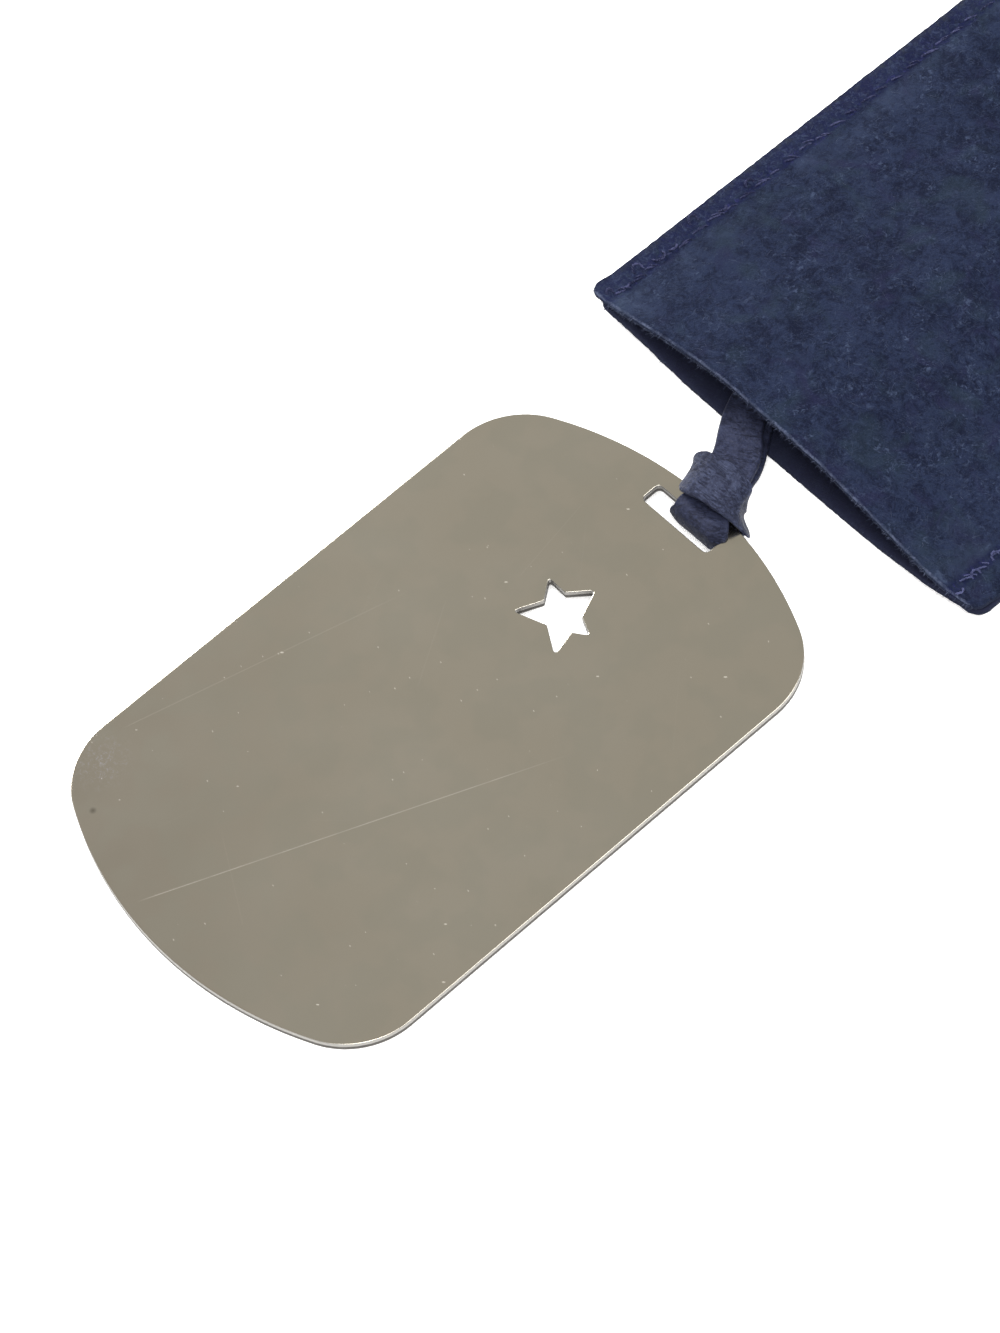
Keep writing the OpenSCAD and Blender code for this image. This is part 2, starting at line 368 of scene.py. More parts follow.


# %% [markdown]
# ## The tag's steel
#
# The tag is stamped from steel sheet and polished. A polished face is not a plain mirror: it
# has a soft haze with faint tints, hairlines from being carried, a few scratches and a scuffed
# place that catch the light, and oval specks of dust. One end is painted darker than the other,
# a painted shade for the dimmer reflection on that side. All of these are drawn from distances
# on the bench. The dust isn't metal, so it lowers the metallic value as well as changing the
# colour.
# %% Mix the steel
steel = Finish("polished_steel", Metallic=1.0, Roughness=0.16)
steel_tone = (0.508, 0.466, 0.389)
steel_cool = (0.449, 0.434, 0.390)
far_shade_tone = (0.388, 0.356, 0.304)
tint_tone = (0.418, 0.412, 0.354)
scuff_tone = (0.480, 0.470, 0.520)
scratch_tone = (0.80, 0.76, 0.70)
dust_tone = (0.36, 0.34, 0.31)
spot_tone = (0.11, 0.10, 0.08)
wall_shade_tone = (0.085, 0.080, 0.075)
rim_shade_tone = (0.310, 0.300, 0.285)


def scratch(finish, start, end, width):
    """How much of a scratch from start to end is at a place, from 0 to 1."""
    start, end = Vector(start), Vector(end)
    along, length = (end - start).normalized(), (end - start).length
    travel = (finish.x - start.x) * along.x + (finish.y - start.y) * along.y
    aside = abs((finish.y - start.y) * along.x - (finish.x - start.x) * along.y)
    fades = finish.band(travel, 0, 0.05 * length, 0.8 * length, length)
    return fades * finish.fall(aside, 0.25 * width, 0.7 * width)


def specks(finish, spacing, size, shift, turn):
    """Oval specks at random places, up to so many millimetres wide and twice as long."""
    spot = finish.shifted(turn, (shift, 2 * shift, 0), (2, 1, 1))
    cells = finish.node("ShaderNodeTexVoronoi", {"voronoi_dimensions": "2D"}, {
        "Vector": spot, "Scale": 1 / spacing})
    rank = finish.node("ShaderNodeSeparateXYZ", {}, {0: cells.output("Color")})
    reach = finish.rise(rank, 0.5, 1.0) * (size / 2 / spacing) + 1e-4
    return finish.fall(cells / reach, 0.5, 1.0)


def spot(finish, x, y, size, soft):
    """A round spot at a place on the bench, with a soft edge."""
    away = ((finish.x - x) ** 2.0 + (finish.y - y) ** 2.0) ** 0.5
    return finish.fall(away, size / 2 - soft, size / 2 + soft)


# %% Lay scratches, hairlines and dust on the steel
deep_line = scratch(steel, (-6.0, -37.6), (13.8, 7.6), 0.13) * 0.42
deep_line = deep_line * (0.6 + 0.4 * steel.patches(0.35, 0.6, 3.0, 2, shift=8))
faint_line = scratch(steel, (-23.4, -25.0), (-14.0, 9.0), 0.12) * 0.13
lines = deep_line.or_more(faint_line)
line_dice = random.Random(4)
for _ in range(8):
    middle = Vector((line_dice.uniform(-20, 20), line_dice.uniform(-34, 30)))
    turn = math.radians(line_dice.uniform(20, 160))
    half = Vector((math.cos(turn), math.sin(turn))) * line_dice.uniform(2, 7)
    share = line_dice.uniform(0.02, 0.07)
    lines = lines.or_more(scratch(steel, middle - half, middle + half, 0.10) * share)

big_specks = specks(steel, 6.0, 0.26, 3.0, 40)
small_specks = specks(steel, 2.6, 0.17, 11.0, -15)
dust = (big_specks * 0.5).or_more(small_specks * 0.35)
rubbed = steel.patches(0.48, 0.70, 0.6, 4, shift=6, warp=0.5, fine=0.9)
scuffs = spot(steel, -21.9, -29.3, 4.6, 2.4) * rubbed * 0.5
rust_spot = spot(steel, -17.8, -33.6, 0.55, 0.27) * 0.6
haze = steel.cloud(14, 3)
# Painted shade: the steel is painted darker towards the corner with low x and low y, for a dimmer
# reflection there.
painted_far_shade = steel.fall(steel.x * 0.67 + steel.y * 0.74, -50, 4)
tinted = steel.patches(0.42, 0.60, 5, 2, shift=27)
tone = steel.coats(
    steel_tone, (steel_cool, haze * 0.5), (far_shade_tone, painted_far_shade), (tint_tone, tinted * 0.25),
    (scuff_tone, scuffs * 1.5), (scratch_tone, lines), (spot_tone, rust_spot), (dust_tone, dust))
print("steel:", len(steel.tree.nodes), "nodes so far")

# %% [markdown]
# The cut walls and the rounded edges are painted a darker tone than the face, a painted shade
# that tames their bright reflection. The lower part of each wall is painted darker still: a
# painted shade for the dark line that the lower wall and the gap under the tag show. That pair
# of bright and dark lines is what shows the tag's thickness, so the wall is split by its height
# over the tag's underside.
# %% Paint shade on the cut walls
lean_sin, lean_cos = math.sin(tag_tilt), math.cos(tag_tilt)
on_sheet = steel.z * lean_cos - (steel.y + tag_len / 2) * lean_sin
ragged = (steel.cloud(0.5, 3, shift=19) - 0.5) * 0.10
# Painted shade: a dark band with a ragged top over the lower part of every cut wall.
painted_wall_shade = steel.rise(on_sheet, 0.12, 0.22) * steel.fall(on_sheet + ragged, 0.58, 0.70)
# Painted shade: the walls and the rounded edges get a darker tone than the face.
rim = steel.fall(steel.facing_up(), 0.70, 0.97)
steel.feed("Base Color", steel.coats(tone, (rim_shade_tone, rim), (wall_shade_tone, painted_wall_shade)))
steel.feed("Metallic", 1 - dust - scuffs * 0.12)
roughness = 0.13 + haze * 0.06 + scuffs * 0.05 + lines * 0.04
steel.feed("Roughness", roughness + rim * 0.34 + painted_wall_shade * 0.1)
steel.relief(steel.cloud(9, 2) + lines * 0.3, 0.02)
print("steel:", len(steel.tree.nodes), "nodes")

# %% [markdown]
# ## The tag
#
# The tag is a flat blank with two long straight sides, bowed ends and rounded corners. A slot
# near its top takes the strap, and a hand-drawn star is cut through below the slot. Such a
# blank is one outline with two holes, so it is built from loops: every loop is rounded over
# from the face to the wall, because a stamped and tumbled edge is never sharp, and it is that
# rounding which draws the thin bright line along the sides.
# %% Draw the tag's loops
end_r = 44.9
corner_r = 9.6
slot_w, slot_h, bar_h, slot_off = 10.3, 2.65, 2.25, 0.35
slot_r, star_r, edge_r = 0.7, 0.32, 0.10
star_middle = np.array([-0.3, 18.0])
star_turns = (83, 124, 151, 181, 220, 273, 312, 346, 366, 397)
star_reach = (4.75, 2.75, 4.85, 2.43, 5.15, 1.88, 5.2, 2.75, 4.4, 2.48)

arc_y = tag_len / 2 - end_r
corner_x = tag_w / 2 - corner_r
corner_y = arc_y + math.sqrt((end_r - corner_r) ** 2 - corner_x ** 2)
bar_y = tag_len / 2 - bar_h


def arc(x, y, radius, start, end, step):
    """Points round a middle, from one angle to another in degrees."""
    turns = np.radians(np.linspace(start, end, max(2, round(abs(end - start) / step) + 1)))
    return np.c_[x + radius * np.cos(turns), y + radius * np.sin(turns)]


def rounded(corners, radius, steps=5):
    """A closed outline whose corners are rounded, points first to last in the same order."""
    corners, loop = np.asarray(corners, float), []
    for i, corner in enumerate(corners):
        back, on = unit(corners[i - 1] - corner), unit(corners[(i + 1) % len(corners)] - corner)
        half = math.acos(np.clip(back @ on, -1, 1)) / 2
        reach = min(radius / math.tan(half), 0.9)
        for f in np.linspace(0, 1, steps):
            loop.append(corner + reach * (back * (1 - f) ** 2 + on * f ** 2))
    return np.array(loop)


lean = math.degrees(math.atan2(corner_y - arc_y, corner_x))
top_half = np.vstack([
    arc(corner_x, corner_y, corner_r, 0, lean, 4),
    arc(0, arc_y, end_r, lean, 180 - lean, 1.5)[1:-1],
    arc(-corner_x, corner_y, corner_r, 180 - lean, 180, 4)])
blank = np.vstack([top_half, -top_half]) * [1.006, 1]
slot_x = slot_off + slot_w / 2 * np.array([-1, -1, 1, 1])
slot_y = bar_y + slot_h * np.array([-1, 0, 0, -1])
slot = rounded(np.c_[slot_x, slot_y], slot_r, 9)
turns = np.radians(star_turns[::-1])
reaches = np.array(star_reach[::-1])[:, None]
star = rounded(star_middle + reaches * np.c_[np.cos(turns), np.sin(turns)], star_r, 7)
print("loops:", len(blank), "points round the tag,", len(slot), "and", len(star), "in the holes")


# %% Round the loops over and cut the tag
def rounded_wall(loop, first):
    """Rings from the top face, over the edge, down the wall and under, and their faces."""
    ahead, behind = np.roll(loop, -1, 0) - loop, loop - np.roll(loop, 1, 0)
    way = unit(unit(ahead) + unit(behind))
    into = np.c_[-way[:, 1], way[:, 0]]
    turns = np.radians([90, 65, 40, 18, 0])
    inset, depth = edge_r * (1 - np.cos(turns)), edge_r * (1 - np.sin(turns))
    rows = [(i, tag_t - d) for i, d in zip(inset, depth)]
    rows += [(i, d) for i, d in zip(inset[::-1], depth[::-1])]
    rings = np.array([np.c_[loop + i * into, np.full(len(loop), z)] for i, z in rows])
    size = len(loop)
    faces = [
        (first + r * size + (k + 1) % size, first + r * size + k,
         first + (r + 1) * size + k, first + (r + 1) * size + (k + 1) % size)
        for r in range(len(rows) - 1) for k in range(size)]
    return rings, faces


points, faces, top_loops, under_loops = [], [], [], []
total = 0
for loop in (blank, slot, star):
    rings, wall = rounded_wall(loop, total)
    size = len(loop)
    top_loops.append(list(range(total, total + size)))
    under_loops.append(list(range(total + (len(rings) - 1) * size, total + len(rings) * size)))
    points += rings.reshape(-1, 3).tolist()
    faces += wall
    total += rings.shape[0] * size

smooth = [True] * len(faces)
for loops, up in ((top_loops, 1), (under_loops, -1)):
    order = [k for loop in loops for k in loop]
    for triangle in tessellate_polygon([[Vector(points[k]) for k in loop] for loop in loops]):
        a, b, c = (order[k] for k in triangle)
        way = np.cross(np.subtract(points[b], points[a]), np.subtract(points[c], points[a]))[2]
        faces.append((a, b, c) if way * up > 0 else (a, c, b))
        smooth.append(False)


def on_lean(points):
    """Leans the tag up from its far edge, onto the strap under its bar."""
    x, y, z = np.asarray(points, float).T
    y = y + tag_len / 2
    c, s = math.cos(tag_tilt), math.sin(tag_tilt)
    return np.c_[x, y * c - z * s - tag_len / 2, y * s + z * c]


make_piece("tag", on_lean(points), faces, steel, "steel", ["tag_plate"], smooth)

# %% [markdown]
# ## The strap's leather
#
# The strap is thin dyed lamb leather. Up close it has a fine pebble, its dye is a little
# lighter on the crests and darker in the pores, and where it is stretched round a bend the
# dye looks paler and greyer. Its fine creases are painted darker, as painted shade, and short
# streaks are painted lighter, as painted highlights. Two finishes share one recipe, one relaxed
# and one stretched.
# %% Mix the leather
def leather(name, deep, pale, roughness, crease_turn):
    """Thin dyed leather, from its colour in the pores and on the crests."""
    made = Finish(name, Roughness=roughness, Specular_IOR_Level=0.20)
    pebble = made.node("ShaderNodeTexVoronoi", {"feature": "SMOOTH_F1"}, {
        "Vector": made.place, "Scale": 2.6, "Smoothness": 0.6})
    crests = made.fall(pebble, 0.1, 0.75)
    rubbed = made.patches(0.38, 0.64, 2.2, 4, warp=0.6, fine=0.8)
    fibres = made.patches(0.35, 0.65, 0.30, 4, fine=0.8)
    wave = made.cloud(0.55, 3, stretch=(6, 1, 1), turn=crease_turn, warp=0.9, fine=0.7)
    shaded_furrows = made.fall(abs(wave - 0.5), 0.0, 0.05) * made.patches(0.36, 0.52, 2.5, 2, shift=9)
    glints = made.patches(0.58, 0.75, 0.35, 3, stretch=(4, 1, 1), turn=crease_turn, shift=31)
    # The creases are painted darker as painted shade, and the glints lighter as painted highlights.
    share = crests * 0.20 + rubbed * 0.30 + fibres * 0.45 + glints * 0.50 - shaded_furrows * 0.80
    made.feed("Base Color", made.blend(deep, pale, share))
    made.feed("Roughness", roughness + 0.12 * fibres - 0.1 * rubbed)
    made.relief(crests * 0.5 + fibres * 0.5 + glints * 0.3 - shaded_furrows * 0.8, 0.08)
    return made


strap_leather = leather(
    "strap_leather", (0.0074, 0.0096, 0.0265), (0.0310, 0.0380, 0.0810), 0.58, 33)
bight_leather = leather(
    "stretched_leather", (0.0090, 0.0116, 0.0310), (0.0450, 0.0560, 0.1080), 0.55, 5)
print("leather:", len(strap_leather.tree.nodes), "nodes")

# %% [markdown]
# ## The strap
#
# One flat strap makes the whole necklace. From under the tag's bar it comes up through the
# slot, folds over the bar and runs through the sleeve and round the neck, and then back the
# same way with its second strand under the first. It is a band with rounded edges swept along
# a smooth curve. Each row of the route gives a place, a turn across the bench, and a width.
# The curve is sampled closely at the hitch, which is seen from nearby, and loosely elsewhere.
# %% Plan the strap's route
strap_t = 0.9
gap = 0.1
bar_z = 2 * strap_t + 2 * gap
level_step = strap_t + gap
join_y = 154

strand_rows = np.array([
    # x, y, height of the lower strand, turn, slip of the lower strand, width,
    # thickness, and how much wider the upper strand is on its right
    [1.5, 38.2, 3.65, 8, 0.35, 5.3, 0.70, 0.6],
    [1.2, 39.6, 3.65, 14, 0.6, 5.0, 0.74, 0.5],
    [0.7, 41.0, 3.50, 21, 0.7, 4.8, 0.80, 0.5],
    [-0.1, 42.6, 3.15, 28, 0.8, 4.8, 0.86, 0.6],
    [-1.05, 44.3, 2.65, 33, 1.1, 4.8, 0.9, 0.7],
    [-2.3, 46.2, 2.15, 35, 1.2, 4.8, 0.9, 0.6],
    [-3.7, 48.0, 1.80, 34, 1.2, 4.8, 0.9, 0.25],
    [-4.9, 49.8, 1.70, 30, 1.1, 4.8, 0.9, 0.1],
    [-6.2, 52.8, 1.70, 19, 1.0, 4.8, 0.9, 0],
    [-7.0, 57.0, 1.70, 7, 0.7, 4.8, 0.9, 0],
    [-7.1, 63.0, 1.70, -1, 0.4, 4.8, 0.9, 0],
    [-6.6, 72.0, 1.70, -4, 0.2, 4.8, 0.9, 0],
    [-5.2, 86.0, 1.70, -6, 0.1, 4.8, 0.9, 0],
    [-3.2, 104.0, 1.70, -6, 0, 4.8, 0.9, 0],
    [-1.2, 122.0, 1.70, -5, 0, 4.8, 0.9, 0],
    [0.4, 136.0, 1.70, -3, 0, 4.8, 0.9, 0],
    [1.1, 145.0, 1.70, 0, 0, 4.8, 0.9, 0],
    [1.1, 147.0, 1.40, 0, 0, 4.8, 0.9, 0],
    [1.1, 149.5, 0.75, 0, 0, 4.8, 0.9, 0],
    [1.1, 151.0, 0.45, 0, 0, 4.8, 0.9, 0],
    [1.1, 152.5, 0.45, 0, 0, 4.8, 0.9, 0],
    [1.1, join_y, 0.45, 0, 0, 4.8, 0.9, 0]])
# x and y of the loop's middle, from the lower strand round to the upper one. Its last three
# places climb onto the lower strand.
loop_plan = np.array([
    [1.1, join_y], [3.4, 164], [10, 179], [26, 201], [46, 225], [65, 251], [78, 280], [82, 312],
    [76, 344], [58, 371], [30, 389], [-3, 393], [-35, 383], [-59, 361], [-72, 330], [-73, 296],
    [-63, 263], [-46, 233], [-28, 207], [-12, 185], [-3, 170], [0.4, 161], [1.1, join_y]])
loop_route = np.c_[loop_plan, np.full(len(loop_plan), strap_t / 2)]
loop_route[-3:, 2] += level_step
leg_end_y = 39.9
# Each strand's fold over the bar, the lower strand's first: where its left and right edges are
# in the slot, half way up and over the bar.
folds = (((-1.7, -1.25, -1.1), (4.4, 4.4, 4.4)), ((-2.10, -1.42, -1.40), (5.5, 5.65, 5.9)))
fold_steps = (8, 9.5, 14)


def half_sides(turns, widths):
    """Vectors from a strap's middle to its right edge."""
    turns = np.radians(turns)
    return np.c_[np.cos(turns), np.sin(turns), 0 * turns] * np.reshape(widths, (-1, 1)) / 2


def strand(level):
    """Middle points, half sides and thickness of one strand, from the bar to the loop."""
    under = 1 - level
    fold_t, fold_edges = strand_rows[0][6], folds[level]
    reach = 0.08 + fold_t / 2 + level * (fold_t + 0.06)
    lower_bend = arc(bar_y, bar_z, reach, 270, 180, 15)
    upper_bend = arc(bar_y, bar_z + tag_t, reach, 180, 90, 15)
    leg = [[leg_end_y, bar_z - reach], [bar_y + 1.2, bar_z - reach]]
    bend = np.vstack([leg, lower_bend, upper_bend])
    flat = np.zeros(len(bend))
    left, right = (np.interp(np.arange(len(bend)), fold_steps, edge) for edge in fold_edges)
    fold = np.c_[(left + right) / 2, bend, half_sides(flat, right - left), flat + fold_t]
    x, y, height, turn, slip, width, thick, spread = strand_rows.T
    middle = np.c_[x + under * slip, y, np.maximum(thick / 2, height) + level * (thick + 0.08)]
    widen = half_sides(turn, level * spread)
    run = np.c_[middle + widen, half_sides(turn, width + level * spread), thick]
    return np.vstack([fold, run])


upper, lower = strand(1), strand(0)
way = unit(np.gradient(loop_route, axis=0))
loop_sides = strand_rows[-1, 5] / 2 * unit(np.c_[way[:, 1], -way[:, 0], 0 * way[:, 0]])
loop = np.c_[loop_route, loop_sides, np.full(len(loop_route), strap_t)]
turned = [1, 1, 1, -1, -1, -1, 1]
plan = np.vstack([upper, loop[-2:0:-1] * turned, lower[::-1] * turned])
closeness = np.select([plan[:, 1] < 56, plan[:, 1] < join_y], [0.2, 1.0], 2.2)
route = smooth_rows(plan, closeness)
travel = travelled(route)
print("strap:", round(travel[-1]), "mm long, drawn with", len(route), "rings")


# %% Sweep the strap
flat = np.linspace(-1, 1, 17)
edge_turns = np.radians([72, 40, 0, -40, -72])
strap_edge_r = 0.28


def swept_strap(route):
    """Rings of a flat strap with round edges, and how much each point is on its top face."""
    centre, side, thick = route[:, :3], route[:, 3:6], route[:, 6:]
    heading = unit(np.gradient(centre, axis=0))
    half_w = np.linalg.norm(side, axis=1)[:, None]
    side = unit(side)
    face = unit(np.cross(side, heading))
    zero, one = 0 * flat, np.ones(len(edge_turns))
    share = np.concatenate([flat, one, -flat, -one])
    out = strap_edge_r * np.concatenate([zero, np.cos(edge_turns), zero, -np.cos(edge_turns)])
    lift = np.concatenate([1 + zero, np.sin(edge_turns), -1 - zero, -np.sin(edge_turns)])
    across = share * (half_w - strap_edge_r) + out
    rings = (centre[:, None] + side[:, None] * across[..., None]
             + face[:, None] * (lift * thick / 2)[..., None])
    on_top = np.concatenate([1 - 0.8 * flat ** 6, 0 * one, zero, 0 * one])
    return rings, face, share, on_top


def ridges(points, size, seed=0.0):
    """Sharp creases between soft swells, from -1 to 1."""
    return 1 - 2 * np.sqrt(np.abs(lumps(points, size, seed)))


# %% Crease the strap where it is bunched, folded and rolled
bunch_y, fold_y, roll_y = 45.4, 36.3, 35.6
left_curl, right_curl = 0.3, 0.45
droop, droop_x = 0.85, 4.3

rings, face, share, on_top = swept_strap(route)
place = rings.reshape(-1, 3)
along = np.repeat(travel, rings.shape[1])
seen = np.repeat(route[:, 1], rings.shape[1])
skew = along + 0.35 * place[:, 0]
cross_folds = ridges(np.c_[skew, place[:, 0] * 0.22, 0 * along], 0.9, 5.0)
fine_folds = ridges(np.c_[skew, place[:, 0] * 0.30, 0 * along], 0.45, 2.0)
push = (hill(seen, bunch_y, 2.2) * (0.20 * cross_folds + 0.10 * fine_folds)
        + 0.05 * lumps(place, 2.2, 4.0)
        + hill(seen, fold_y, 1.6) * 0.04 * ridges(place * [0.5, 1, 1], 0.8, 9.0) - 0.06)
rolled = hill(route[:, 1], roll_y, 1.5) * (route[:, 2] > 1)
curl = (left_curl * np.clip((-share - 0.6) / 0.4, 0, 1) ** 2
        + right_curl * np.clip((share - 0.7) / 0.3, 0, 1) ** 2)
push = on_top * push.reshape(rings.shape[:2]) - rolled[:, None] * curl
rings = rings + face[:, None] * push[..., None]
over_bar = ease((rings[..., 2] - 3.3) / 0.4) * ease((39.8 - rings[..., 1]) / 0.8)
rings[..., 2] -= droop * over_bar * ease((rings[..., 0] - droop_x) / 1.5)
make_piece("strap", rings, band_faces(*rings.shape[:2]), strap_leather, "strap",
           ["strand_upper", "strand_lower", "neck_loop"])

# %% [markdown]
# ## The hitch
#
# The strap's own bight wraps both strands just past the bar, which is what holds the tag. It
# is pulled tight at the waist, stands proud over the top, and flares where it turns under. It
# is a closed band, so each row gives the edge near the tag and the edge near the sleeve, and
# the rows run once round the strands. Between the two edges the leather bulges, has a raised
# lip in front and fine creases where it is drawn together.
# %% Crease the bight
wrap_t = 0.65
wrap_rows = np.array([
    # near edge x, y, z, far edge x, y, z, and how far the waist is drawn in sideways,
    # from the top to the left, below, and up the right side
    [1.77, 37.66, 5.85, -0.01, 42.89, 5.50, 0],
    [-0.18, 37.24, 5.60, -1.31, 42.62, 5.45, 0],
    [-1.68, 37.51, 4.65, -2.83, 42.43, 4.80, 0.1],
    [-2.25, 39.70, 3.20, -3.75, 41.68, 3.70, 0.15],
    [-2.20, 40.50, 1.50, -3.50, 42.40, 1.80, 0.1],
    [-1.20, 40.60, 0.00, -2.40, 43.20, 0.00, 0],
    [1.20, 40.70, 0.00, -0.60, 43.80, 0.00, 0],
    [3.20, 40.80, 0.00, 1.10, 43.70, 0.00, 0],
    [4.60, 40.80, 1.30, 2.85, 42.35, 1.10, 0.5],
    [6.35, 39.10, 2.95, 3.20, 42.12, 2.90, 0.95],
    [5.70, 38.98, 3.45, 3.41, 42.34, 3.90, 0.8],
    [5.35, 38.84, 3.90, 3.44, 42.68, 4.60, 0.5],
    [4.32, 38.22, 5.20, 2.37, 43.04, 5.30, 0.15],
    [3.15, 37.81, 5.70, 1.24, 43.09, 5.50, 0]])
print("bight:", len(wrap_rows), "places round the strands")


def bight_relief(outside, travel, v):
    """How far each point of the bight's outside is pushed out, from its near edge to its far
    edge: a raised lip, four drawn creases, and fine folds over soft swells."""
    zero, shape = 0 * travel, outside.shape[:2]
    bulge = 0.08 * np.sin(np.pi * v) + 0.16 * hill(v, 0.05, 0.05)
    bulge = bulge - 0.12 * hill(v, 0.15, 0.035)
    wander = 0.025 * lumps(np.c_[travel, zero, zero], 1.3, 5.0)[:, None]
    for at, deep in ((0.24, 0.09), (0.32, 0.06), (0.42, 0.05), (0.53, 0.03)):
        patchy = ease(1.2 + 1.6 * lumps(np.c_[travel, zero, zero + at * 40], 1.6, 8.0))
        bulge = bulge - deep * patchy[:, None] * hill(v - wander, at, 0.026)
    around = np.repeat(travel, len(v))
    across = np.tile(v * 5.2, len(travel))
    across = across + 0.5 * lumps(np.c_[around, across, 0 * around], 2.5, 3.0)
    long_folds = ridges(np.c_[around * 0.16, across, 0 * around], 0.55, 2.0)
    fine_folds = ridges(np.c_[around * 0.30, across, 0 * around], 0.28, 7.0)
    creased = (0.6 * long_folds + 0.4 * fine_folds).reshape(shape)
    drawn = 0.45 + 0.55 * hill(v, 0.2, 0.16) + 0.6 * hill(v, 1, 0.2)
    swell = lumps(outside, 1.7, 4.0).reshape(shape)
    fade = np.sin(np.pi * np.clip(v, 0.03, 0.97)) ** 0.4
    return bulge + (0.20 * creased * drawn + 0.10 * swell) * fade


# %% Wrap the bight round the strands
def wrapped_band(rows):
    """Rings across a closed band, from its near edge over the outside and back inside."""
    near, far, waist = rows[:, :3].copy(), rows[:, 3:6].copy(), rows[:, 6:]
    near[:, 2], far[:, 2] = np.maximum(near[:, 2], 0), np.maximum(far[:, 2], 0)
    middle = (near + far) / 2
    round_way = np.roll(middle, -1, 0) - np.roll(middle, 1, 0)
    outward = -unit(np.cross([0, 1, 0], round_way * [1, 0, 1]))
    width_way = unit(far - near)
    travel = np.cumsum(np.linalg.norm(round_way, axis=1)) / 2

    def waisted(start, reach, v):
        """Points between the edges, drawn in sideways in the middle."""
        points = start[:, None] + reach[:, None] * v[None, :, None]
        points[..., 0] -= waist * np.sin(np.pi * v) ** 1.2 * np.sign(middle[:, :1])
        return points

    v = np.linspace(0, 1, 45)
    outside = waisted(near, far - near, v)
    above = np.clip(rows[:, None, 2] / 2 - 0.5, 0, 1)
    push = bight_relief(outside, travel, v) * above
    outside = outside + outward[:, None] * push[..., None]
    turns = np.radians([60, 20, -20, -60])
    half_t = wrap_t / 2

    def edge(place, way, turns):
        """Points round one edge, from the outside to the inside."""
        core = place - outward * half_t
        return (core[:, None] + way[:, None] * (0.8 * half_t * np.cos(turns))[None, :, None]
                + outward[:, None] * (half_t * np.sin(turns))[None, :, None])

    first, last = outside[:, 0], outside[:, -1]
    inside = waisted(last - outward * wrap_t, first - last, np.linspace(0, 1, 9))
    rings = np.concatenate([
        outside, edge(last, width_way, turns), inside, edge(first, -width_way, turns[::-1])], 1)
    return rings[::-1]


rings = wrapped_band(smooth_rows(wrap_rows, 0.2, ring=True))
make_piece("hitch_bight", rings, band_faces(*rings.shape[:2], closed=True), bight_leather,
           "strap", ["hitch_wrap"])

# %% [markdown]
# ## The suede
#
# Suede is leather with its fibres brushed up into a nap. Wherever a finger has passed, the
# fibres lie another way and the dye looks lighter or darker, so suede is never one colour. This
# finish adds up clouds of four tones, short streaks of fibre in three directions, pale flecks,
# and the places where wear shows first: beside the seams, which also flush bluer, at the corner
# and along the cut mouth. Painted shade darkens the grooves along the seams, the back layer's
# top face, which shows only inside the mouth, and every face that turns away from the sky. The
# soft glow at grazing angles is the shader's own sheen.
# %% Say where the sleeve lies
sleeve_x, sleeve_w, sleeve_len = 1.0, 61.2, 95.0
suede_t = 1.1
left_seam, right_seam = 2.8, 3.8
mouth_y, mouth_slant, mouth_bow, front_recess = 49.35, -0.009, 0.2, 0.15
# The front layer's mouth is set back in the middle. The seams draw it out again, by so much at
# the left and at the right, between two distances from the middle.
sewn_left, sewn_right = 0.35, 0.6
sewn_from, sewn_to = 14, 27.6
# Both layers' mouths are set back at the right corner, between two distances from the middle.
corner_back, corner_from, corner_to = 0.65, 22.5, 29.5
# The front layer turns up at its lip. Each layer is pushed aside at the mouth's left corner,
# the back one first.
lip_lift, lip_w = 0.4, 2.2
mouth_push = (1.3, -0.08)
flat_half, edge_lift = 13.0, 1.0
left_r, right_r = 1.3, 1.9
cut_r = 0.24
stitch_pitch = 2.4
left_in, right_in = left_seam - sleeve_w / 2, sleeve_w / 2 - right_seam
print("seams at", sleeve_x + left_in, "and", sleeve_x + right_in)

# %% Mix the suede
suede = Finish("navy_suede", Roughness=0.95, Sheen_Weight=0.05, Sheen_Roughness=0.45,
               Sheen_Tint=(0.42, 0.52, 0.80, 1), Specular_IOR_Level=0.05)
deep_navy = (0.0042, 0.0060, 0.0165)
mid_navy = (0.0130, 0.0188, 0.0425)
teal_navy = (0.0140, 0.0235, 0.0360)
plum_navy = (0.0118, 0.0122, 0.0360)
flush_blue = (0.0280, 0.0270, 0.1150)
pale_nap = (0.0400, 0.0530, 0.0950)
worn_blue = (0.0430, 0.0580, 0.1050)
raw_edge = (0.0850, 0.1020, 0.1650)
border_grey = (0.0260, 0.0290, 0.0370)
seam_shade_navy = (0.0060, 0.0080, 0.0330)
mouth_shade_navy = (0.0150, 0.0160, 0.0330)

across = suede.x - sleeve_x
from_left = across + sleeve_w / 2
from_right = sleeve_w / 2 - across
bowed = mouth_bow * (1 - (across * (2 / sleeve_w)) ** 2.0)
apart = (front_recess - sewn_left * suede.rise(0 - across, sewn_from, sewn_to)
         - sewn_right * suede.rise(across, sewn_from, sewn_to))
from_mouth = suede.y - mouth_y - apart - across * mouth_slant + bowed
from_mouth = from_mouth - corner_back * suede.rise(across, corner_from, corner_to)
belly = edge_lift * suede.rise(abs(across), flat_half, sleeve_w / 2 - right_seam)
upward = suede.facing_up()

